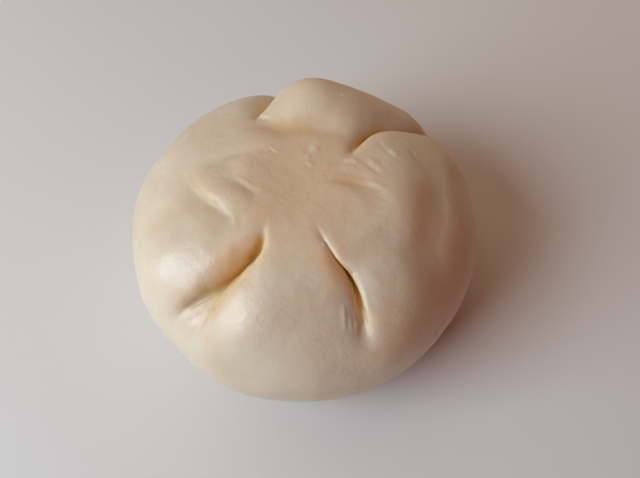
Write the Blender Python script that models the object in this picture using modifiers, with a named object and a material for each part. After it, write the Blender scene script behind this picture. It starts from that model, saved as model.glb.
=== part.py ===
"""Raw meat mooncake: a squat round of dough closed on top, with deep folds running out from the pinch.

One solid.  A blank is turned from a profile, then its skin is swelled and folded.  A place on the skin is
given by its reach (millimetres over the skin from the top centre) and its bearing (degrees, anticlockwise
from +X seen from above).  Sizes are in millimetres until the vertices are written in metres.
"""

import math

import bpy
import numpy as np

MM = 0.001

# The blank
WIDTH = 60.0
DEPTH = 56.6
HEIGHT = 34.0
WAIST_HEIGHT = 14.5
FOOT_RADIUS = 20.0
SHOULDER_POWER = 2.4
BELLY_POWER = 2.2

# The mesh of the skin: rings of vertices FINE_STEP apart out to FINE_REACH, and columns of them set closer
# together at the bearings of the deep folds
SEGMENTS = 108
FINE_REACH = 30.0
FINE_STEP = 0.9
COARSE_STEP = 1.6
FINE_BEARINGS = (-126.0, -68.0, 38.0, 112.0)
CROWDING = 1.6
CROWDING_SPREAD = 16.0

# Points a fold's or a line's curve is drawn with
PATH_SAMPLES = 90

# Swells: reach, bearing, half length along the bearing, half width across it, height
SWELLS = {
    "back lobe": (18.8, 85.5, 6.5, 6.3, 4.1),
    "back lobe, falling to the right": (21.0, 60.0, 6.0, 6.0, 2.0),
    "back lobe's right shoulder": (27.0, 46.0, 6.0, 5.0, 1.2),
    "left lobe": (25.0, -151.0, 7.0, 6.0, 1.1),
    "right lobe": (15.0, -2.0, 4.4, 10.0, 0.8),
    "back corner of the right lobe": (29.0, 23.0, 7.0, 6.0, 1.2),
    "front lobe": (22.0, -98.0, 8.0, 6.0, 0.4),
    "pressed pad": (2.0, 120.0, 7.0, 8.0, -0.9),
    "back left shoulder": (32.0, 124.0, 8.0, 14.0, 0.8),
    "left shoulder": (37.0, 164.0, 8.0, 8.0, 0.5),
    "left of the belly": (40.0, -167.0, 10.0, 10.0, -0.7),
    "front of the belly": (48.0, -80.0, 12.0, 34.0, -0.6),
    "front right of the belly": (44.0, -38.0, 10.0, 16.0, -0.7),
    "flat side under the front left fold": (42.0, -136.0, 8.0, 8.0, -0.7),
}

# Folds, from the pinch outwards: reach, bearing, depth, width of the floor, roundness of the left side,
# roundness of the right side, overhang of the left side (negative: of the right side)
FOLDS = {
    "front left": (
        (8.4, -131.0, 0.0, 0.0, 0.8, 2.6, 0.0),
        (9.4, -125.6, 0.2, 0.0, 0.9, 3.2, 0.0),
        (10.4, -122.1, 0.6, 0.0, 1.0, 3.8, 0.1),
        (11.3, -120.3, 1.5, 0.0, 1.2, 4.2, 0.2),
        (12.4, -119.4, 2.9, 0.0, 1.5, 4.2, 0.3),
        (13.8, -120.6, 4.0, 0.0, 1.9, 4.1, 0.3),
        (15.7, -122.6, 4.5, 0.0, 2.6, 3.9, 0.2),
        (17.8, -124.2, 4.4, 0.1, 3.2, 3.6, 0.1),
        (19.5, -125.6, 3.9, 0.4, 3.6, 3.4, 0.0),
        (21.3, -126.8, 3.3, 1.2, 3.8, 3.1, 0.0),
        (23.2, -127.8, 2.5, 2.2, 4.0, 2.8, 0.0),
        (25.6, -128.8, 1.7, 3.4, 4.2, 2.8, 0.0),
        (28.4, -129.6, 0.9, 4.6, 4.2, 3.0, 0.0),
        (32.5, -130.2, 0.0, 5.0, 4.2, 3.4, 0.0),
    ),
    "front right": (
        (7.4, -73.4, 0.0, 0.0, 0.7, 0.9, 0.0),
        (8.6, -73.6, 0.1, 0.0, 0.7, 1.1, 0.1),
        (9.8, -73.0, 0.2, 0.0, 0.8, 1.4, 0.2),
        (11.0, -71.4, 0.5, 0.0, 1.0, 2.0, 0.4),
        (12.4, -69.3, 1.1, 0.1, 1.2, 2.7, 0.8),
        (14.0, -67.0, 2.3, 0.2, 1.4, 3.5, 1.3),
        (16.0, -64.4, 3.1, 0.3, 1.6, 4.2, 1.4),
        (18.2, -63.4, 3.2, 0.5, 1.8, 4.6, 1.4),
        (20.4, -63.9, 2.8, 0.8, 1.8, 5.0, 1.3),
        (22.5, -65.2, 2.2, 0.8, 1.8, 5.2, 1.1),
        (24.3, -66.6, 1.6, 0.9, 2.0, 5.2, 0.7),
        (26.0, -67.8, 1.0, 1.0, 2.2, 5.2, 0.4),
        (27.6, -69.0, 0.5, 1.2, 2.6, 5.4, 0.1),
        (29.6, -70.4, 0.0, 1.4, 3.2, 5.4, 0.0),
    ),
    "back right": (
        (9.0, 36.0, 0.0, 0.0, 2.0, 1.0, 0.0),
        (11.2, 41.5, 0.9, 0.2, 4.0, 1.4, -0.2),
        (14.2, 45.0, 2.2, 0.3, 6.0, 2.0, -0.5),
        (17.2, 44.8, 3.0, 0.4, 7.0, 2.8, -0.8),
        (20.6, 42.2, 3.4, 0.5, 7.0, 3.4, -0.8),
        (26.0, 38.4, 2.6, 0.4, 6.0, 4.0, -0.4),
        (33.0, 36.0, 0.0, 0.0, 5.0, 5.0, 0.0),
    ),
    "back left": (
        (16.2, 119.5, 0.0, 0.0, 3.2, 1.8, 0.0),
        (18.2, 115.0, 1.6, 0.0, 5.0, 3.4, 0.0),
        (21.0, 107.4, 3.8, 0.0, 6.4, 4.8, 0.0),
        (25.5, 100.0, 4.4, 0.0, 7.2, 5.4, 0.0),
        (31.0, 96.8, 2.4, 0.4, 7.0, 5.4, 0.0),
        (37.0, 96.0, 0.0, 0.6, 6.0, 5.0, 0.0),
    ),
    "left of the pad": (
        (21.0, 166.0, 0.0, 0.0, 3.2, 4.0, 0.0),
        (18.0, 176.0, 0.4, 0.0, 3.0, 4.4, 0.0),
        (15.6, -173.0, 0.7, 0.0, 2.8, 4.8, 0.0),
        (13.5, -162.0, 0.7, 0.0, 2.8, 5.0, 0.0),
        (12.5, -151.0, 0.4, 0.0, 3.0, 4.6, 0.0),
        (12.6, -140.0, 0.0, 0.0, 3.0, 4.0, 0.0),
    ),
}

# Soft ridges (up) and grooves (down): reach, bearing, height, half width
SOFT_LINES = {
    "groove behind the pad": (
        (17.0, 121.0, -0.1, 1.8),
        (15.0, 116.0, -0.5, 2.0),
        (12.4, 104.0, -0.9, 2.2),
        (11.8, 86.0, -1.0, 2.2),
        (11.6, 68.0, -0.7, 1.8),
        (10.8, 54.0, 0.0, 1.6),
    ),
    "flap left of the pad": (
        (18.4, 164.0, 0.0, 2.6),
        (16.0, 171.0, 0.3, 2.8),
        (13.0, -178.0, 0.5, 3.0),
        (10.6, -165.0, 0.3, 2.8),
        (9.0, -148.0, 0.0, 2.4),
    ),
    "end of the pad's left arm": (
        (12.0, 164.0, 0.0, 2.2),
        (9.8, 160.0, 0.3, 2.2),
        (7.4, 155.0, 0.2, 2.2),
        (5.0, 146.0, 0.0, 2.0),
    ),
    "step under the pad's left arm": (
        (12.6, 172.0, 0.0, 1.0),
        (10.4, 177.0, -0.1, 1.1),
        (8.6, -175.0, -0.2, 1.1),
        (7.4, -163.0, -0.2, 1.1),
        (7.0, -150.0, -0.1, 1.1),
        (7.6, -138.0, 0.0, 1.0),
    ),
    "groove round the pad's left arm": (
        (16.4, 176.0, 0.0, 1.1),
        (15.4, 167.0, -0.1, 1.1),
        (13.9, 158.0, -0.2, 1.1),
        (12.2, 150.0, -0.2, 1.1),
        (10.8, 140.0, -0.1, 1.1),
        (9.2, 128.0, 0.0, 1.0),
    ),
    "groove right of the pad": (
        (4.5, 28.0, 0.0, 1.4),
        (6.4, 10.0, -0.2, 1.5),
        (8.8, 0.0, -0.4, 1.6),
        (10.8, -8.0, -0.3, 1.6),
        (14.4, -16.0, 0.0, 1.6),
    ),
    "valley down the right lobe": (
        (19.0, 26.0, 0.0, 2.2),
        (20.8, 14.0, -0.2, 2.3),
        (21.7, 0.0, -0.3, 2.3),
        (22.0, -14.0, -0.3, 2.5),
        (22.8, -28.0, -0.2, 2.8),
        (25.0, -42.0, 0.0, 3.0),
    ),
    "bulge outside the valley": (
        (26.6, 10.0, 0.0, 3.6),
        (27.6, -6.0, 0.1, 3.6),
        (28.6, -22.0, 0.1, 3.6),
        (30.0, -38.0, 0.0, 3.6),
    ),
    "front shoulder of the right lobe": (
        (15.5, -34.0, 0.0, 4.0),
        (18.7, -40.0, 0.4, 4.5),
        (24.0, -49.0, 0.7, 5.0),
        (28.0, -56.0, 0.6, 5.0),
        (31.5, -63.0, 0.3, 4.5),
        (35.0, -68.0, 0.0, 4.5),
    ),
    "left shoulder of the front lobe": (
        (13.0, -104.0, 0.0, 2.4),
        (17.0, -106.0, 0.3, 2.8),
        (20.5, -107.5, 0.6, 3.2),
        (25.0, -109.5, 0.7, 3.4),
        (29.5, -113.0, 0.5, 3.4),
        (34.0, -114.0, 0.0, 3.4),
    ),
    "crease in the front left fold": (
        (18.5, -128.6, 0.0, 0.8),
        (21.2, -130.6, -0.4, 0.9),
        (24.4, -133.6, -0.6, 1.0),
        (27.4, -135.2, -0.6, 1.0),
        (30.6, -135.2, 0.0, 1.0),
    ),
}

DOUGH_COLOUR = (0.62, 0.47, 0.33, 1.0)
DOUGH_ROUGHNESS = 0.55


def smooth_rows(rows, samples):
    """Rows of numbers made into more rows on a Catmull-Rom curve through them."""
    knots = np.array(rows, float)
    padded = np.vstack([2 * knots[0] - knots[1], knots, 2 * knots[-1] - knots[-2]])
    made = []
    for place in np.linspace(0, len(knots) - 1, samples):
        first = min(int(place), len(knots) - 2)
        t = place - first
        before, start, end, after = padded[first : first + 4]
        made.append(
            0.5
            * (
                2 * start
                + (end - before) * t
                + (2 * before - 5 * start + 4 * end - after) * t**2
                + (3 * start - before - 3 * end + after) * t**3
            )
        )
    return np.array(made)


def blank_profile():
    """Radius, height and reach down the turned blank, finely stepped, from the top centre to the foot's edge."""
    turn = np.linspace(0, math.pi / 2, 600)
    half_width = WIDTH / 2
    top_radius = half_width * np.sin(turn) ** (2 / SHOULDER_POWER)
    top_height = WAIST_HEIGHT + (HEIGHT - WAIST_HEIGHT) * np.cos(turn).clip(0) ** (2 / SHOULDER_POWER)
    low_radius = FOOT_RADIUS + (half_width - FOOT_RADIUS) * np.cos(turn).clip(0) ** (2 / BELLY_POWER)
    low_height = WAIST_HEIGHT * (1 - np.sin(turn) ** (2 / BELLY_POWER))
    radius = np.concatenate([top_radius, low_radius[1:]])
    height = np.concatenate([top_height, low_height[1:]])
    reach = np.concatenate([[0], np.cumsum(np.hypot(np.diff(radius), np.diff(height)))])
    return radius, height, reach


def ring_reaches(last_reach):
    """The reaches of the rings of vertices: close together over the folds, wider apart down the side."""
    fine = np.arange(0, FINE_REACH, FINE_STEP)
    coarse_count = math.ceil((last_reach - FINE_REACH) / COARSE_STEP)
    coarse = np.linspace(FINE_REACH, last_reach, coarse_count + 1)
    return np.concatenate([fine, coarse])


def turned_blank(reaches, profile):
    """The plain blank as a mesh object: the profile from the top centre to the foot's centre, turned once."""
    radius, height, reach = profile
    line = [(np.interp(r, reach, radius) * MM, 0, np.interp(r, reach, height) * MM) for r in reaches]
    line[0] = (0, 0, HEIGHT * MM)
    line[-1] = (FOOT_RADIUS * MM, 0, 0)
    line.append((0, 0, 0))
    mesh = bpy.data.meshes.new("profile")
    mesh.from_pydata(line, [(i, i + 1) for i in range(len(line) - 1)], [])
    blank = bpy.data.objects.new("blank", mesh)
    bpy.context.scene.collection.objects.link(blank)
    screw = blank.modifiers.new("turn", "SCREW")
    screw.axis = "Z"
    screw.steps = SEGMENTS
    screw.render_steps = SEGMENTS
    screw.use_merge_vertices = True
    screw.merge_threshold = 0.00001
    return blank


def crowded_bearing(bearing):
    """Bearings in radians moved so that the vertices stand closer together along the deep folds."""
    even = np.linspace(-math.pi, math.pi, 721)
    density = np.ones_like(even)
    for fold in np.radians(FINE_BEARINGS):
        away = np.angle(np.exp(1j * (even - fold)))
        density += CROWDING * np.exp(-((away / math.radians(CROWDING_SPREAD)) ** 2))
    total = np.concatenate([[0], np.cumsum((density[1:] + density[:-1]) / 2)])
    total = total / total[-1] * 2 * math.pi - math.pi
    return np.interp(bearing, total, even)


def swell(across, away, row):
    """Height of a smooth round swell at skin places (across, away)."""
    reach, bearing, length, width, height = row
    turn = math.radians(bearing)
    along = across * math.cos(turn) + away * math.sin(turn) - reach
    aside = -across * math.sin(turn) + away * math.cos(turn)
    return height * np.exp(-((along / length) ** 2) - (aside / width) ** 2)


def nearest_on_path(across, away, rows):
    """For each skin place: its distance and direction from a path, its side of it, and the path's values there."""
    line = smooth_rows(
        [(r * math.cos(math.radians(b)), r * math.sin(math.radians(b)), *rest) for r, b, *rest in rows],
        PATH_SAMPLES,
    )
    start, step = line[:-1, :2], np.diff(line[:, :2], axis=0)
    length_squared = (step**2).sum(1)
    from_start = np.stack([across, away], 1)[:, None, :] - start
    share = ((from_start * step).sum(2) / length_squared).clip(0, 1)
    off = from_start - share[:, :, None] * step
    distance = np.hypot(off[:, :, 0], off[:, :, 1])
    nearest = distance.argmin(1)
    every = np.arange(len(across))
    share, off, distance = share[every, nearest], off[every, nearest], distance[every, nearest]
    here = line[nearest, 2:] * (1 - share[:, None]) + line[nearest + 1, 2:] * share[:, None]
    tangent = step[nearest] / np.sqrt(length_squared[nearest])[:, None]
    left = np.stack([-tangent[:, 1], tangent[:, 0]], 1)
    return distance, left, (off * left).sum(1) > 0, here.T


def fold(across, away, rows):
    """How far a fold raises skin places, and how far it moves them sideways over the skin."""
    distance, left, on_left, values = nearest_on_path(across, away, rows)
    depth, floor, left_round, right_round, overhang = values
    depth, floor = depth.clip(0), floor.clip(0)
    side_round = np.where(on_left, left_round, right_round)
    rise = ((distance - floor / 2) / side_round).clip(0, 1)
    strength = 1 - np.exp(-depth / 0.8)
    sink = depth * (1 - np.sin(rise * math.pi / 2))
    closing = strength * side_round * (rise - 1 + np.cos(rise * math.pi / 2))
    lip = np.where(on_left, overhang, -overhang).clip(0) * strength * 1.6 * rise * np.sin(rise * math.pi)
    toward_line = np.where(on_left, -1, 1) * (closing + lip)
    return -sink, left * toward_line[:, None]


def soft_line(across, away, rows):
    """How far a soft ridge or groove raises skin places."""
    distance, _, _, (height, half_width) = nearest_on_path(across, away, rows)
    return height * np.exp(-((distance / half_width) ** 2))


def skin_place(station, bearing, raised, profile):
    """Points in space of skin places, given by reach and bearing in radians, raised off the blank."""
    radius, height, reach = profile
    slope = np.arctan2(-np.gradient(height, reach), np.gradient(radius, reach))
    lean = np.interp(station, reach, slope)
    out = np.interp(station, reach, radius) + raised * np.sin(lean)
    up = np.interp(station, reach, height) + raised * np.cos(lean)
    return np.stack([out * np.cos(bearing), out * np.sin(bearing) * DEPTH / WIDTH, up], 1)


def shape_skin(blank, profile):
    """The turned blank's mesh, with every vertex moved to its place on the folded dough, in metres."""
    radius, height, reach = profile
    mesh = bpy.data.meshes.new_from_object(blank.evaluated_get(bpy.context.evaluated_depsgraph_get()))
    place = np.empty(len(mesh.vertices) * 3)
    mesh.vertices.foreach_get("co", place)
    place = place.reshape(-1, 3) / MM
    out = np.hypot(place[:, 0], place[:, 1])
    skin = (place[:, 2] > 0.001) | (out > FOOT_RADIUS - 0.01)
    gap = np.hypot(out[:, None] - radius, place[:, 2][:, None] - height)
    station = reach[gap.argmin(1)]
    bearing = crowded_bearing(np.arctan2(place[:, 1], place[:, 0]))
    across, away = station * np.cos(bearing), station * np.sin(bearing)
    raised = sum(swell(across, away, row) for row in SWELLS.values())
    moved = np.zeros((len(station), 2))
    raised += sum(soft_line(across, away, rows) for rows in SOFT_LINES.values())
    for rows in FOLDS.values():
        lift, aside = fold(across, away, rows)
        raised += lift
        moved += aside
    across, away = across + moved[:, 0], away + moved[:, 1]
    station, bearing = np.hypot(across, away), np.arctan2(away, across)
    place[skin] = skin_place(station, bearing, raised, profile)[skin]
    place[:, 1][~skin] *= DEPTH / WIDTH
    place[:, 2] = place[:, 2].clip(0)
    low, high = place.min(0), place.max(0)
    place[:, :2] -= ((low + high) / 2)[:2]
    mesh.vertices.foreach_set("co", (place * MM).ravel())
    mesh.update()
    return mesh


def dough_material():
    material = bpy.data.materials.new("raw_dough")
    material.use_nodes = True
    surface = material.node_tree.nodes["Principled BSDF"]
    surface.inputs["Base Color"].default_value = DOUGH_COLOUR
    surface.inputs["Roughness"].default_value = DOUGH_ROUGHNESS
    surface.inputs["Metallic"].default_value = 0.0
    return material


def main():
    for old in list(bpy.data.objects):
        bpy.data.objects.remove(old)
    profile = blank_profile()
    blank = turned_blank(ring_reaches(profile[2][-1]), profile)
    mesh = shape_skin(blank, profile)
    bpy.data.objects.remove(blank)
    mesh.shade_smooth()
    mesh.materials.append(dough_material())
    dough = bpy.data.objects.new("dough", mesh)
    collection = bpy.data.collections.new("meat_mooncake")
    bpy.context.scene.collection.children.link(collection)
    collection.objects.link(dough)


main()
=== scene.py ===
# %% [markdown]
# # A raw meat mooncake
# A meat mooncake starts as a round of soft dough wrapped round a ball of filling.  The cook gathers the edge
# of the dough on top, pinches it shut and presses it down with a thumb.  The gathered edge leaves deep folds
# that run out from the pinch, and the lobes between them swell like small pillows.
#
# The imported solid already has the lobes and the deep folds at their real size.  It is loaded first and kept
# as it is.

# %% Load the solid that everything is fitted to
import math

import bpy
import numpy as np
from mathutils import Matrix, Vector
from mathutils.bvhtree import BVHTree


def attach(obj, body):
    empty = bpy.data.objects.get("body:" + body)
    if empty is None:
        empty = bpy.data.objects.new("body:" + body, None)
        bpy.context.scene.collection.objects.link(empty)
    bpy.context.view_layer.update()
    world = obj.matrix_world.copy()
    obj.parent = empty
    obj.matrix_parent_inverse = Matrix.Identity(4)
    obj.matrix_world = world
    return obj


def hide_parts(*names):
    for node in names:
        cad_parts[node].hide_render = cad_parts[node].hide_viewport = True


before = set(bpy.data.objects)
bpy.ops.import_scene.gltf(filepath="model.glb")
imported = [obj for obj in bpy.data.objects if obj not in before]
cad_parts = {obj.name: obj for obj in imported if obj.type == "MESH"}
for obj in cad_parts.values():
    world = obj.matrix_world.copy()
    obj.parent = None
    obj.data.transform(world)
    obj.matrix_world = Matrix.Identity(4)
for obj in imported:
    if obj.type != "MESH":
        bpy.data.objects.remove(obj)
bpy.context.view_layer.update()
MM = 0.001

# %% [markdown]
# ## The camera
# The round is looked down on from the front, as on a kitchen counter from arm's length.  A hand-held camera
# comes close to so small a thing, so the back of it looks clearly smaller than the front.  The camera is
# placed from the point it looks at, an angle above the table and a distance, because those are the numbers
# that are easy to picture.

# %% Camera, looking down from the front
LOOK_AT = Vector((2.7, 0.0, 15.0)) * MM
CAMERA_HEIGHT_ANGLE = math.radians(62)
CAMERA_DISTANCE = 107 * MM

towards_camera = Vector((0, -math.cos(CAMERA_HEIGHT_ANGLE), math.sin(CAMERA_HEIGHT_ANGLE)))
bpy.ops.object.camera_add(location=LOOK_AT + towards_camera * CAMERA_DISTANCE)
camera = bpy.context.object
camera.name = "camera"
camera.rotation_euler = towards_camera.to_track_quat("Z", "Y").to_euler()
camera.data.sensor_width = 36
camera.data.lens = 33.75
camera.data.clip_start = 1 * MM
bpy.context.scene.camera = camera
print("camera at, mm:", [round(c / MM) for c in camera.location])

# %% [markdown]
# ## The dough
# Soft dough has no hard edges, and the solid is made of flat triangles.  A copy of the solid is merged into
# one skin, its triangles are joined into squares, and a Subdivision Surface rounds it.  Squares matter here:
# subdivided triangles leave a star at each corner that shows as a ripple on a smooth skin.

# %% Copy the solid
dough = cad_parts["dough"].copy()
dough.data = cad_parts["dough"].data.copy()
dough.name = dough.data.name = "dough_round"
dough.parent = None
for key in list(dough.keys()):
    del dough[key]
dough.data.materials.clear()
bpy.context.collection.objects.link(dough)
print("copied:", len(dough.data.vertices), "corners,", len(dough.data.polygons), "triangles")

# %% Merge the copy's corners and join its triangles into squares
MERGE_DISTANCE = 0.002 * MM


def only(piece):
    """Selects one piece alone and makes it the active one, which operators work on."""
    bpy.ops.object.select_all(action="DESELECT")
    piece.select_set(True)
    bpy.context.view_layer.objects.active = piece


only(dough)
bpy.ops.object.mode_set(mode="EDIT")
bpy.ops.mesh.select_all(action="SELECT")
bpy.ops.mesh.remove_doubles(threshold=MERGE_DISTANCE)
bpy.ops.mesh.tris_convert_to_quads(face_threshold=math.pi, shape_threshold=math.pi)
bpy.ops.object.mode_set(mode="OBJECT")
squares = sum(len(face.vertices) == 4 for face in dough.data.polygons)
print("merged:", len(dough.data.vertices), "corners,", squares, "squares,", len(dough.data.polygons), "faces")

# %% [markdown]
# ## How sheltered each place is
# Light that falls into a fold bounces between its walls and comes back orange.  That orange shade is painted
# into the colour, so the shader has to know how deep inside a fold a place lies.  From every corner a fan of
# rays is cast outwards.  The share of them that meets the dough again within about a centimetre says how
# sheltered that corner is.  It is stored on the skin now, because the rounding below blends it smoothly
# between the corners.

# %% Cast a fan of rays from every corner
GOLDEN_ANGLE = math.radians(137.5)
RAYS = 96
RAY_REACH = 12 * MM
RAY_START = 0.05 * MM
A_THIRD = 0.33


def fan_of_rays(count):
    """Directions spread over a half ball round +Z, closer together near +Z, where more light comes from."""
    turn = np.arange(count) * GOLDEN_ANGLE
    lift = np.sqrt(1 - (np.arange(count) + 0.5) / count)
    flat = np.sqrt(1 - lift**2)
    return [Vector((f * math.cos(t), f * math.sin(t), z)) for f, t, z in zip(flat, turn, lift)]


def shelter(piece, count, reach):
    """For every corner: the share of rays that meet the piece within reach."""
    tree = BVHTree.FromObject(piece, bpy.context.evaluated_depsgraph_get())
    rays = fan_of_rays(count)
    shares = []
    for corner in piece.data.vertices:
        turn = corner.normal.to_track_quat("Z", "Y")
        start = corner.co + corner.normal * RAY_START
        hits = (tree.ray_cast(start, turn @ ray, reach)[0] for ray in rays)
        shares.append(sum(hit is not None for hit in hits) / count)
    return np.array(shares, np.float32)


sheltered = dough.data.attributes.new("sheltered", "FLOAT", "POINT")
sheltered.data.foreach_set("value", shelter(dough, RAYS, RAY_REACH))
shares = np.array([item.value for item in sheltered.data])
print("corners more than a third sheltered:", int((shares > A_THIRD).sum()), "most:", shares.max().round(2))

# %% Round the skin
rounding = dough.modifiers.new("rounding", "SUBSURF")
rounding.levels = rounding.render_levels = 2
bpy.ops.object.modifier_apply(modifier="rounding")
bpy.ops.object.shade_smooth()
print("rounded:", len(dough.data.vertices), "corners,", 2 * len(dough.data.polygons), "triangles")

# %% [markdown]
# ## Lines in the skin
# Where wet dough is pinched and smeared it keeps thin ridges, small steps and stretch marks.  Each is laid
# along a line of a few points seen from above.  The line is dropped onto the skin, the skin near it gets a
# weight that fades out to the sides and the ends, and a Displace modifier moves it by that weight.  That is
# what a sculpting brush does, and numbers in place of a brush make it easy to change one line later.  No hand
# presses evenly, so the weight also swells and thins along the line, by chance but the same at each run.

# %% Helpers that find the skin near a line
END_SHARE = 0.35
HIGH_ABOVE = 60


def smooth_path(points, spacing=0.15):
    """Points in millimetres along a smooth curve through the given ones."""
    points = np.array(points, float)
    before, after = 2 * points[0] - points[1], 2 * points[-1] - points[-2]
    longer = np.concatenate([[before], points, [after]])
    curve = []
    for a, b, c, d in zip(longer, longer[1:], longer[2:], longer[3:]):
        t = np.arange(0, 1, spacing / max(np.linalg.norm(c - b), spacing))[:, None]
        bend, twist = 2 * a - 5 * b + 4 * c - d, 3 * b - a - 3 * c + d
        curve.append(0.5 * (2 * b + (c - a) * t + bend * t**2 + twist * t**3))
    return np.concatenate([*curve, points[-1:]])


def skin_points(piece):
    """The place of every corner of a piece, in millimetres."""
    flat = np.empty(len(piece.data.vertices) * 3)
    piece.data.vertices.foreach_get("co", flat)
    return flat.reshape(-1, 3) / MM


def drop_on_skin(piece, path):
    """The path's points with the height of the skin under them, in millimetres."""
    tree = BVHTree.FromObject(piece, bpy.context.evaluated_depsgraph_get())
    above = [Vector((x, y, HIGH_ABOVE)) * MM for x, y in path]
    return np.array([np.array(tree.ray_cast(start, Vector((0, 0, -1)))[0]) / MM for start in above])


def near_line(piece, points, width):
    """The corners near a line, how far each is from it, along it (0 to 1) and on which side (left is 1)."""
    path = drop_on_skin(piece, smooth_path(points))
    skin = skin_points(piece)
    reach = np.ptp(path[:, :2], 0).max() / 2 + 4 * width
    near = np.flatnonzero(np.abs(skin[:, :2] - (path.min(0) + path.max(0))[:2] / 2).max(1) < reach)
    off = skin[near, None, :] - path[None]
    distance = np.linalg.norm(off, axis=2)
    closest = distance.argmin(1)
    run = np.gradient(path[:, :2], axis=0)[closest]
    side = off[np.arange(len(near)), closest, :2]
    left = np.sign(run[:, 0] * side[:, 1] - run[:, 1] * side[:, 0])
    return near, distance[np.arange(len(near)), closest], closest / (len(path) - 1), left


def end_fade(along):
    """A number that rises from 0 to 1 over the first third of a line and falls again over the last third."""
    return np.sin(np.clip(np.minimum(along, 1 - along) / END_SHARE, 0, 1) * math.pi / 2) ** 2


# %% Helpers that move the skin along a line
FAINTEST_BRUSH = 0.01
FAINTEST_CORNER = 0.004
KNOTS = 7
WEAKEST, STRONGEST = 0.55, 1.15
STEP_GAIN = 1.2


def move_skin(piece, name, weight, height, direction="NORMAL"):
    """Moves the skin outwards (or up) by height (mm) times weight, a number from -1 to 1 for every corner."""
    for sign in (1, -1):
        share = (weight * sign).clip(0, 1)
        if share.max() < FAINTEST_BRUSH:
            continue
        group = piece.vertex_groups.new(name=name)
        for corner in np.flatnonzero(share > FAINTEST_CORNER):
            group.add([int(corner)], float(share[corner]), "REPLACE")
        brush = piece.modifiers.new(name, "DISPLACE")
        brush.vertex_group = group.name
        brush.mid_level = 0
        brush.direction = direction
        brush.strength = height * sign * MM
        bpy.ops.object.modifier_apply(modifier=name)
        piece.vertex_groups.clear()


def lay_line(piece, name, width, height, points, step=0.0, direction="NORMAL"):
    """A ridge, or with a negative height a groove, along points.  A step raises the line's left side."""
    near, distance, along, left = near_line(piece, points, width)
    chance = np.random.default_rng(len(name) * 7 + len(points))
    pressure = chance.uniform(WEAKEST, STRONGEST, KNOTS)
    fade = end_fade(along) * np.interp(along, np.linspace(0, 1, KNOTS), pressure)
    across = distance / width
    hump = np.exp(-(across**2))
    shelf = left * across * np.exp(0.5 - across**2) * STEP_GAIN
    weight = np.zeros(len(piece.data.vertices))
    weight[near] = fade * ((1 - step) * hump + step * shelf)
    move_skin(piece, name, weight, height, direction)


def lay_lines(piece, lines):
    """Lays every line of a table: name: (width, height, points) and, if need be, a step and a direction."""
    for name, line in lines.items():
        lay_line(piece, name, *line)
    print(len(lines), "lines laid:", ", ".join(lines))


# %% [markdown]
# ## The pressed middle
# The thumb leaves a flat star in the middle.  Its arms end in thin lips of dough that were smeared over the
# lobes and never quite closed.

# %% Lips and creases left of the pressed middle
LEFT_LINES = {
    "crest of the flap": (1.5, 0.05, [
        (-16.8, 7.9), (-17.2, 4.8), (-16, 1.4), (-14.1, -1.1), (-12.1, -2.8)
    ]),
    "crease under the flap": (0.4, -0.11, [
        (-17.9, 4.7), (-16.9, 1.6), (-15.4, -0.7), (-14.1, -2.2), (-12.8, -3.1), (-11.6, -4.5),
        (-10.2, -5.5)
    ]),
    "lip over the crease": (0.3, 0.04, [(-14.7, -2.1), (-13.7, -2.5), (-12.8, -3.4)]),
    "lip at the end of the flap": (0.35, 0.05, [(-11.6, -4.3), (-10.6, -5), (-9.8, -5.6)]),
    "lump below the flap": (0.5, 0.1, [(-10.5, -7.1), (-9.8, -6.8), (-10, -5.5)]),
    "edge of the left arm": (0.55, -0.14, [
        (-14.3, 1.2), (-14.2, 3.5), (-12.7, 4.9), (-11, 5.3), (-9.4, 6), (-7.5, 6.5)
    ]),
    "lip of the inner step": (0.3, 0.13, [(-11, 1.3), (-9.9, 1), (-8.9, 0.4), (-8.1, -0.1), (-7.1, -0.9)]),
    "shadow under the step": (0.45, -0.13, [
        (-11, 0.6), (-10, 0.2), (-8.8, -0.7), (-7.6, -1.5), (-6.3, -2.2)
    ]),
}
lay_lines(dough, LEFT_LINES)

# %% Lips and wrinkles behind the pressed middle
BACK_LINES = {
    "front wrinkle": (0.3, -0.12, [(-6.7, 5.6), (-5.5, 5.9), (-4.3, 6.3)]),
    "back wrinkle": (0.3, 0.09, [(-5.9, 7.3), (-5.1, 6.5), (-4.3, 5.8), (-2.9, 5.3)], 0.5),
    "pit": (0.8, -0.14, [(0.6, 6.2), (0.9, 5.4)]),
    "lump beside the pit": (0.5, 0.12, [(1.7, 6.6), (2.5, 5.7)]),
    "lump under the pit": (0.4, 0.1, [(0.4, 4.9), (1.3, 4.6)]),
    "streak under the pit": (0.35, 0.09, [(0.4, 4.1), (1.2, 3.5), (1.7, 2.8)]),
    "tip of the back left fold": (0.4, 0.16, [(-8, 15.3), (-6.8, 14.2), (-5.6, 13.2)]),
    "crease under the tip": (0.35, -0.14, [(-7.4, 13.5), (-6.3, 13), (-5.2, 13.1)]),
}
lay_lines(dough, BACK_LINES)

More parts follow.
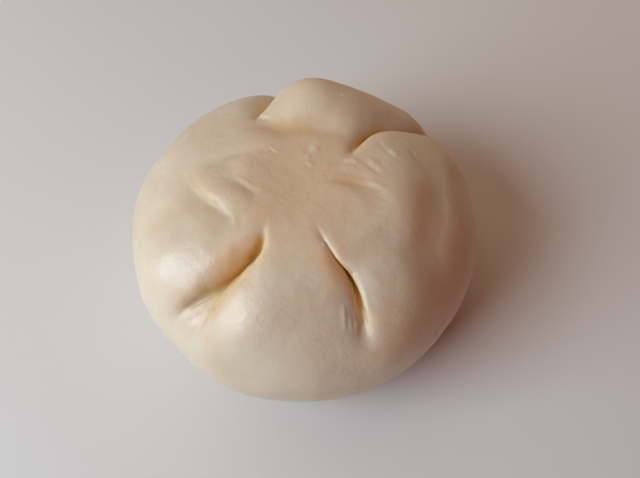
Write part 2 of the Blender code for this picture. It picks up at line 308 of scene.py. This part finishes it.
# %% Smeared dough on the right lobe
RIGHT_LINES = {
    "dab": (0.5, 0.2, [(5.9, 3.3), (6.9, 4.1), (8, 4.1), (8.5, 2.9)]),
    "dab below it": (0.4, 0.15, [(6.2, 2.5), (7.3, 2.9), (8.5, 2.4)]),
    "first crease": (0.28, -0.1, [(9.2, 4.3), (10.2, 3.1), (11.3, 2), (12.2, 1)]),
    "smear beside it": (0.5, 0.13, [(9.7, 5), (10.9, 3.8), (12.1, 2.6), (12.8, 1.4)]),
    "second crease": (0.3, -0.08, [(11.3, 9.1), (12.6, 7), (13.5, 5.8), (15.3, 4.3), (17.2, 3.3)]),
    "smear on the second crease": (0.6, 0.14, [(13.4, 6.6), (14.3, 6), (15, 5.2)]),
    "third crease": (0.35, -0.06, [(15.8, 9.4), (17.2, 7), (18.7, 5.2), (19.8, 4)]),
    "edge of the right flap": (0.6, 0.12, [(4.2, 1.2), (6.5, 0.4), (9, 0), (11.6, -1), (13.6, -3.6)], 0.8),
    "faint crease": (0.3, -0.06, [(10.6, -2), (11.7, -2.7), (13.1, -3.4), (14.2, -3.9)]),
    "faint lip": (0.5, 0.08, [(2.7, -1.5), (3.6, -0.6), (4.8, -0.3)]),
    "shoulder of the lobe": (3.0, 0.35, [(7.5, -5.5), (9.6, -9), (11, -12.5), (11.8, -16)]),
}
lay_lines(dough, RIGHT_LINES)

# %% [markdown]
# ## The folds
# The dough at the foot of each open fold was stretched as the lobes swelled apart, and it shows it in short
# ridges that run the way the dough was pulled.  Where the two sides of a fold meet, a fine crease is left.
# The lobes lean over the folds a little, so their edges are pushed out and the walls under them pushed in.

# %% Stretched dough in the front left fold
FRONT_LEFT_LINES = {
    "edge of the left lobe": (1.4, 0.6, [
        (-10.5, -13.3), (-12.6, -14.3), (-14.6, -15.1), (-16.4, -16), (-18, -17), (-19.6, -18.6)
    ]),
    "edge of the front lobe": (0.9, -0.5, [
        (-5.6, -8), (-6.2, -9.6), (-7, -11.3), (-8.1, -12.8), (-9.2, -14), (-10.4, -15.3), (-11.6, -16.8)
    ]),
    "top of its edge": (0.7, -0.4, [(-5.6, -7.8), (-5.9, -9.4), (-6.2, -10.9), (-6.9, -12.1), (-7.9, -13.3)]),
    "slit": (0.35, -0.35, [
        (-7.6, -11.4), (-9, -12.6), (-10.3, -13.9), (-11.7, -14.9), (-13.7, -16), (-15.3, -16.8),
        (-17, -17.5), (-18.8, -18.4)
    ]),
    "foot of the front lobe": (0.45, -0.18, [(-10.3, -14.9), (-10.9, -16), (-11.7, -17.1), (-12.9, -17.8)]),
    "dimple": (0.4, -0.18, [(-12.3, -17.7), (-13, -18.1)]),
    "first mark": (0.24, 0.07, [(-13, -16.3), (-14.7, -17.1), (-16.4, -18.1), (-18, -19)]),
    "second mark": (0.24, 0.06, [(-13.2, -16.9), (-14.7, -17.8), (-16.5, -18.6), (-18.7, -18.9)]),
    "third mark": (0.24, 0.07, [(-13, -17.8), (-14.4, -18.8), (-16.2, -19.8), (-17.5, -20)]),
    "fourth mark": (0.24, 0.08, [(-12.2, -18.3), (-13.4, -19.7), (-14.7, -21.1), (-15.1, -22)]),
    "fifth mark": (0.24, 0.1, [(-11.8, -19), (-12.6, -20.4), (-13.5, -21.7)]),
    "short mark": (0.24, 0.12, [(-13.1, -20.4), (-14, -21.3), (-14.2, -21.9)]),
}
lay_lines(dough, FRONT_LEFT_LINES)

# %% Stretched dough in the front right fold
FRONT_RIGHT_LINES = {
    "stretched floor": (1.8, 0.4, [
        (2.4, -8.2), (3.2, -9.8), (4.6, -11.9), (6.2, -13.5), (7.4, -15.2), (8.2, -17), (8.6, -19),
        (8.6, -21.5)
    ], 0, "Z"),
    "undercut of the rim": (0.55, -0.5, [
        (5.2, -12.2), (6.5, -13.6), (7.9, -15.2), (8.6, -16.9), (9, -18.4), (9.2, -19.6), (9.2, -21)
    ]),
    "rim": (0.55, 0.25, [(6.8, -13.8), (8, -15.3), (9, -17.1), (9.5, -19), (9.7, -20.6)]),
    "channel beside the rim": (0.4, -0.12, [
        (5.6, -12.6), (6.4, -13.4), (6.9, -15), (7.3, -16.5), (7.7, -18.3), (7.9, -19.8)
    ]),
    "left mark": (0.24, 0.24, [(6, -18), (6.1, -19.7), (6.2, -21.2), (6.1, -22.3)]),
    "middle mark": (0.22, 0.16, [(6.9, -19.3), (7, -20.5), (7.2, -21.9)]),
    "right mark": (0.22, 0.16, [(7.6, -19.7), (7.9, -20.8), (8.1, -21.8)]),
    "thread across the fold": (0.22, 0.16, [(2.7, -10.3), (3.4, -10.5), (4.3, -10.5)]),
}
lay_lines(dough, FRONT_RIGHT_LINES)

# %% [markdown]
# ## The uneven skin
# Dough is never perfectly smooth.  Two slow rounds of noise, one the size of a fingertip and one the size of
# a grain of rice, push the skin in and out a little.  What the noise pushed below the table is then pressed
# flat again, as the table does to the real thing.

# %% Unevenness
def uneven(piece, name, grain, height):
    """Pushes the skin in and out by cloud noise with grains of the given size (mm) and height (mm)."""
    clouds = bpy.data.textures.new(name, "CLOUDS")
    clouds.noise_scale = grain * MM
    clouds.noise_depth = 1
    shift = piece.modifiers.new(name, "DISPLACE")
    shift.texture = clouds
    shift.texture_coords = "LOCAL"
    shift.strength = height * MM
    shift.mid_level = 0.5
    bpy.ops.object.modifier_apply(modifier=name)


uneven(dough, "fingertips", 8.0, 0.35)
uneven(dough, "rice grains", 1.6, 0.08)

# %% Press the foot flat on the table
skin = skin_points(dough)
print("lowest corner before the table presses it, mm:", skin[:, 2].min().round(3))
skin[:, 2] = skin[:, 2].clip(0)
dough.data.vertices.foreach_set("co", (skin * MM).ravel())
dough.data.update()
print("skin, mm:", np.ptp(skin, 0).round(2))

# %% [markdown]
# ## Where the dough was pressed, and where shade and light are painted
# The middle, which fingers pressed, is a little more tan than the rest.  Painted shade darkens the creases
# under the thin flaps, the groove behind the middle, the valley down the right lobe, the floor and end of the
# front left fold, the left edge of the front lobe's top and the whole shaded right side, and it dims the
# highlight on the shoulder of the front lobe and, in brown, on two bright rims.  Painted bounced light makes
# the walls of the open folds warmer and brighter, and the front wall of the back right fold is painted paler
# to lift its shade.  Two smears and two small spots are pale, and a crumb stuck to the skin.  Every corner
# stores how much of each it has, painted along lines as above.

# %% Helpers that paint
CLEARLY = 0.3


def painted(piece, lines):
    """The lines of a table, name: (points, width, amount), painted softly as a number for every corner."""
    field = np.zeros(len(piece.data.vertices))
    for points, width, amount in lines.values():
        near, distance, along, _ = near_line(piece, points, width)
        field[near] += amount * end_fade(along) * np.exp(-((distance / width) ** 2))
    return field


def store(piece, name, field):
    """Keeps a field of numbers on the corners, where the shader finds it by its name."""
    kept = piece.data.attributes.new(name, "FLOAT", "POINT")
    kept.data.foreach_set("value", field.clip(0, 1).astype(np.float32))
    print("share of the skin that is", name + ":", round(float((field > CLEARLY).mean()), 3))


# %% Paint the tan middle and the painted shade
# Painted shade, except the middle below: the groove behind the pressed middle, the valley down the right
# lobe, the shaded right side, the end and floor of the front left fold, the left of the front lobe's top, the
# creases under the flaps and the hollow right of the middle are darker where shade falls, and the shoulder of
# the front lobe is darkened to dim its highlight.
TAN_AND_SHADE_LINES = {
    "behind the pressed middle": ([(-8.0, 13.0), (-4.5, 11.6), (0.5, 11.0), (4.8, 9.8)], 2.2, 0.5),
    "down the right lobe": ([
        (19.3, 3.6), (18.7, 0.6), (17.9, -3.1), (17.5, -6.4), (17.4, -9.4), (17.5, -11.8)
    ], 1.8, 0.5),
    "right side": ([(26.5, 4), (27, -6), (23.5, -14), (19, -19.5), (12.5, -24), (5, -26.5)], 5, 0.8),
    "shoulder of the front lobe": ([
        (-4.5, -7), (-6, -11), (-7.8, -14), (-8.8, -17.5), (-10, -20), (-11, -23)
    ], 2.5, 0.4),
    "end of the front left fold": ([(-13.5, -14.5), (-15.5, -15.4), (-17.2, -16.7), (-19, -18.6)], 1.6, 0.5),
    "floor of the front left fold": ([(-10, -14), (-12.4, -16.2), (-14.5, -18.2), (-17, -21)], 2.0, 0.5),
    "left of the front lobe's top": ([(-5.6, -2.6), (-5.8, -4.8), (-6.0, -6.8), (-5.9, -8.6)], 1.4, 0.3),
    "under the left flap": (LEFT_LINES["crease under the flap"][2], 1.2, 0.3),
    "under the right flap": ([(4.6, 1.4), (5.7, 0.6), (7.3, 0.1), (8.8, -0.3), (10.2, -1.0)], 1.0, 0.5),
    "right of the pressed middle": ([(3.4, 2.4), (4.4, 2.0)], 1.4, 0.3),
}
MIDDLE_BACK = 1
MIDDLE_RADIUS = 11
MIDDLE_AMOUNT = 0.5
skin = skin_points(dough)
from_middle = np.hypot(skin[:, 0], skin[:, 1] - MIDDLE_BACK) / MIDDLE_RADIUS
middle = MIDDLE_AMOUNT * np.exp(-(from_middle**4))
store(dough, "handled_and_painted_shade", painted(dough, TAN_AND_SHADE_LINES) + middle)

# %% Paint the pale spots and smears, and a paler wall that lifts its shade
PALE_SPOTS_AND_LIGHT_LINES = {
    "grain on the back lobe": ([(6.1, 16), (6.5, 16)], 0.25, 0.8),
    "grain on the right lobe": ([(22.2, -4.3), (22.6, -4.3)], 0.25, 0.8),
    # Painted light: this shaded wall is painted paler to lift its shade.
    "front wall of the back right fold": ([(12, 12.2), (14.4, 13.4), (17, 14.6), (19.4, 15.9)], 1.8, 0.6),
    "smear at the pit": ([(0.6, 6.6), (1.6, 5.8)], 0.7, 0.3),
    "dab on the right lobe": ([(6.2, 3.4), (7.3, 3.9), (8.3, 3.4)], 0.6, 0.3),
}
store(dough, "pale_and_painted_light", painted(dough, PALE_SPOTS_AND_LIGHT_LINES))

# %% Paint the bounced light on the fold walls, the crumb and the shade on two rims
# Painted bounced light: these fold walls face away from the window and are painted warmer and brighter, as
# light bounced in the folds and passed through the dough would make them.
BOUNCED_LIGHT_LINES = {
    "wall of the front left fold": ([
        (-6.2, -7.6), (-8, -9.9), (-9.6, -11.3), (-11.5, -12.9), (-13, -14.2), (-14.5, -15.4)
    ], 1.9, 0.85),
    "flank of the front right fold": ([
        (2.2, -9), (2.9, -11), (3.9, -12.8), (5.1, -14.6), (6.2, -16.4), (6.6, -18.4)
    ], 1.9, 0.8),
}
# A real crumb, and painted shade: two bright rims at the front folds are dimmed with brown.
CRUMB_AND_SHADE_LINES = {
    "crumb": ([(20.6, -19.3), (21, -19.3)], 0.22, 1.0),
    "rim of the front right fold": ([
        (3.5, -9.5), (5, -11.4), (7, -13.4), (8.6, -15.6), (9.5, -17.8), (9.8, -19.8), (9.6, -22)
    ], 0.7, 0.26),
    "edge of the front lobe": ([(-5, -6), (-5.3, -8.2), (-5.9, -10), (-6.7, -11.6), (-7.6, -13)], 0.8, 0.2),
}
# The 'stretched' field holds painted bounced light, and the 'damp' field a crumb and painted shade on two
# rims.
store(dough, "stretched", painted(dough, BOUNCED_LIGHT_LINES))
store(dough, "crumb_and_painted_shade", painted(dough, CRUMB_AND_SHADE_LINES))

# %% [markdown]
# The rim of the front right fold faces the open light, but the rays that start beside it meet the other side
# of the fold.  It is taken back a little, so that the painted fold shade stays off it and it stays as pale as
# the rest of the lobe.

# %% Less shelter on the rim of the front right fold
OPEN_LINES = {
    "rim of the front right fold": ([
        (2.5, -8), (4.8, -11.4), (7, -13.2), (8.9, -15.4), (10, -18), (10, -22)
    ], 1.1, 0.3),
}
kept = dough.data.attributes["sheltered"].data
shares = np.empty(len(kept), np.float32)
kept.foreach_get("value", shares)
opened = (shares - painted(dough, OPEN_LINES)).clip(0, 1).astype(np.float32)
kept.foreach_set("value", opened)
print("corners more than a third sheltered:", int((opened > A_THIRD).sum()), "of", len(kept))

# %% [markdown]
# ## What dough looks like
# Raw wheat dough is cream to tan and lets light in a little way, so its shadows glow warm.  Subsurface
# scattering gives that.  The skin has a soft satin sheen where it is moist, and fine dimples where it dried.
# The colour is built up in layers, as a painter would: cream with tan patches first, then the tan middle with
# the painted shade, then golden and orange painted shade in the folds, and last the pale spots with a painted
# paler wall, painted bounced light on the fold walls, and a crumb with brown painted shade on two rims.
# Noise mixes in the patches, and the numbers that the corners store mix in the rest.

# %% A new material and helpers that make its nodes
material = bpy.data.materials.new("raw dough")
material.use_nodes = True
nodes, links = material.node_tree.nodes, material.node_tree.links
shader = nodes["Principled BSDF"]
place = nodes.new("ShaderNodeTexCoord")


def noise(scale_mm, detail=2.0, rough=0.5):
    """A noise node on the piece's own coordinates, with grains of about the given size."""
    node = nodes.new("ShaderNodeTexNoise")
    node.inputs["Scale"].default_value = 1 / (scale_mm * MM)
    node.inputs["Detail"].default_value = detail
    node.inputs["Roughness"].default_value = rough
    links.new(place.outputs["Object"], node.inputs["Vector"])
    return node.outputs["Fac"]


def remap(value, low, high, to_low, to_high):
    """A value moved from one range to another, and held inside it."""
    node = nodes.new("ShaderNodeMapRange")
    for socket, number in zip(("From Min", "From Max", "To Min", "To Max"), (low, high, to_low, to_high)):
        node.inputs[socket].default_value = number
    links.new(value, node.inputs["Value"])
    return node.outputs["Result"]


def mix(amount, first, second):
    """First colour to second colour by amount."""
    node = nodes.new("ShaderNodeMix")
    node.data_type = "RGBA"
    links.new(amount, node.inputs["Factor"])
    for socket, colour in ((node.inputs["A"], first), (node.inputs["B"], second)):
        if isinstance(colour, tuple):
            socket.default_value = colour
        else:
            links.new(colour, socket)
    return node.outputs["Result"]


def stored(name):
    """The number that every corner stores under a name."""
    node = nodes.new("ShaderNodeAttribute")
    node.attribute_name = name
    return node.outputs["Fac"]


# %% The colours, layer on layer
CREAM = (0.76, 0.63, 0.46, 1)
TAN = (0.69, 0.53, 0.35, 1)
HANDLED_AND_SHADE = (0.73, 0.46, 0.23, 1)
PALE_SPOTS_AND_LIGHT = (0.85, 0.80, 0.70, 1)
GOLDEN_FOLD_SHADE = (0.76, 0.57, 0.31, 1)
DEEP_FOLD_SHADE = (0.72, 0.42, 0.12, 1)
BOUNCED_LIGHT = (0.93, 0.66, 0.39, 1)
CRUMB_AND_SHADE_BROWN = (0.22, 0.15, 0.09, 1)

patches = remap(noise(9.0, 3.0), 0.35, 0.7, 0, 1)
colour = mix(patches, CREAM, TAN)
# The tan of the pressed middle, and painted shade in the grooves, folds and on the shaded right side.
colour = mix(stored("handled_and_painted_shade"), colour, HANDLED_AND_SHADE)
# Painted shade: golden, then deep orange, the more sheltered a place is inside a fold.
colour = mix(remap(stored("sheltered"), 0.06, 0.34, 0, 1), colour, GOLDEN_FOLD_SHADE)
colour = mix(remap(stored("sheltered"), 0.28, 0.8, 0, 1), colour, DEEP_FOLD_SHADE)
# Pale spots and smears, and painted light that lifts the shade on the back right fold's front wall.
colour = mix(stored("pale_and_painted_light"), colour, PALE_SPOTS_AND_LIGHT)
# Painted bounced light: the fold walls warmer and brighter.
colour = mix(stored("stretched"), colour, BOUNCED_LIGHT)
# A dark crumb, and brown painted shade that dims two bright rims.
colour = mix(stored("crumb_and_painted_shade"), colour, CRUMB_AND_SHADE_BROWN)
links.new(colour, shader.inputs["Base Color"])
print("layers of colour:", sum(node.type == "MIX" for node in nodes))

# %% Let light in, and give the skin its sheen
shader.inputs["Subsurface Weight"].default_value = 0.8
shader.inputs["Subsurface Radius"].default_value = (1.0, 0.55, 0.25)
shader.inputs["Subsurface Scale"].default_value = 2.2 * MM
shader.inputs["IOR"].default_value = 1.45
shader.inputs["Specular IOR Level"].default_value = 1.0
links.new(remap(noise(1.5), 0.3, 0.7, 0.36, 0.5), shader.inputs["Roughness"])

# %% Fine dimples
bump = nodes.new("ShaderNodeBump")
bump.inputs["Strength"].default_value = 0.6
bump.inputs["Distance"].default_value = 0.1 * MM
links.new(noise(0.5, 4.0, 0.6), bump.inputs["Height"])
links.new(bump.outputs["Normal"], shader.inputs["Normal"])
dough.data.materials.append(material)
print("material:", material.name, "with", len(nodes), "nodes")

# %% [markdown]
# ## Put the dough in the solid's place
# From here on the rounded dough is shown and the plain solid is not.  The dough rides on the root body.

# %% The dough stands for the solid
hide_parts("dough")
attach(dough, "root")

# %% [markdown]
# ## The table and the light
# The round stands on a plain pale table.  A large soft light on the left is the window.  Two weak ones, one
# high up behind the round and one low behind it on the right, are the rest of the room: they show the edges
# on the far side.  A dim warm red from all round keeps the shaded side from going grey.

# %% Table
TABLE_SIDE = 1.6
TABLE_COLOUR = (0.76, 0.725, 0.67, 1)

bpy.ops.object.select_all(action="DESELECT")
bpy.ops.mesh.primitive_plane_add(size=TABLE_SIDE)
table = bpy.context.object
table.name = "table"
surface = bpy.data.materials.new("pale table")
surface.use_nodes = True
surface.node_tree.nodes["Principled BSDF"].inputs["Base Color"].default_value = TABLE_COLOUR
surface.node_tree.nodes["Principled BSDF"].inputs["Roughness"].default_value = 0.5
table.data.materials.append(surface)
print("table:", TABLE_SIDE, "m wide")

# %% Lights
LIGHT_DISTANCE = 0.5


def soft_light(name, bearing, elevation, size, power, colour):
    """A square light that faces the round.  Bearing 0 is at the camera, 90 at the right."""
    turn, lift = math.radians(bearing), math.radians(elevation)
    towards = Vector((math.sin(turn) * math.cos(lift), -math.cos(turn) * math.cos(lift), math.sin(lift)))
    bpy.ops.object.light_add(type="AREA", location=LOOK_AT + towards * LIGHT_DISTANCE)
    light = bpy.context.object
    light.name = name
    light.data.size = size
    light.data.energy = power
    light.data.color = colour
    light.rotation_euler = towards.to_track_quat("Z", "Y").to_euler()
    print(f"{name}: {power} W")


soft_light("window on the left", 296, 33, 0.35, 2.95, (0.68, 0.86, 1.0))
soft_light("room behind", 210, 60, 0.5, 0.48, (1.0, 1.0, 0.8))
soft_light("low light behind", 150, 12, 0.4, 0.28, (0.9, 1.0, 0.6))

# %% Glow of the room
GLOW_COLOUR = (1.0, 0.1, 0.02, 1)
GLOW_STRENGTH = 0.13

world = bpy.data.worlds.new("room")
world.use_nodes = True
world.node_tree.nodes["Background"].inputs["Color"].default_value = GLOW_COLOUR
world.node_tree.nodes["Background"].inputs["Strength"].default_value = GLOW_STRENGTH
bpy.context.scene.world = world
bpy.context.scene.view_settings.view_transform = "Standard"
print("glow of the room:", GLOW_STRENGTH)
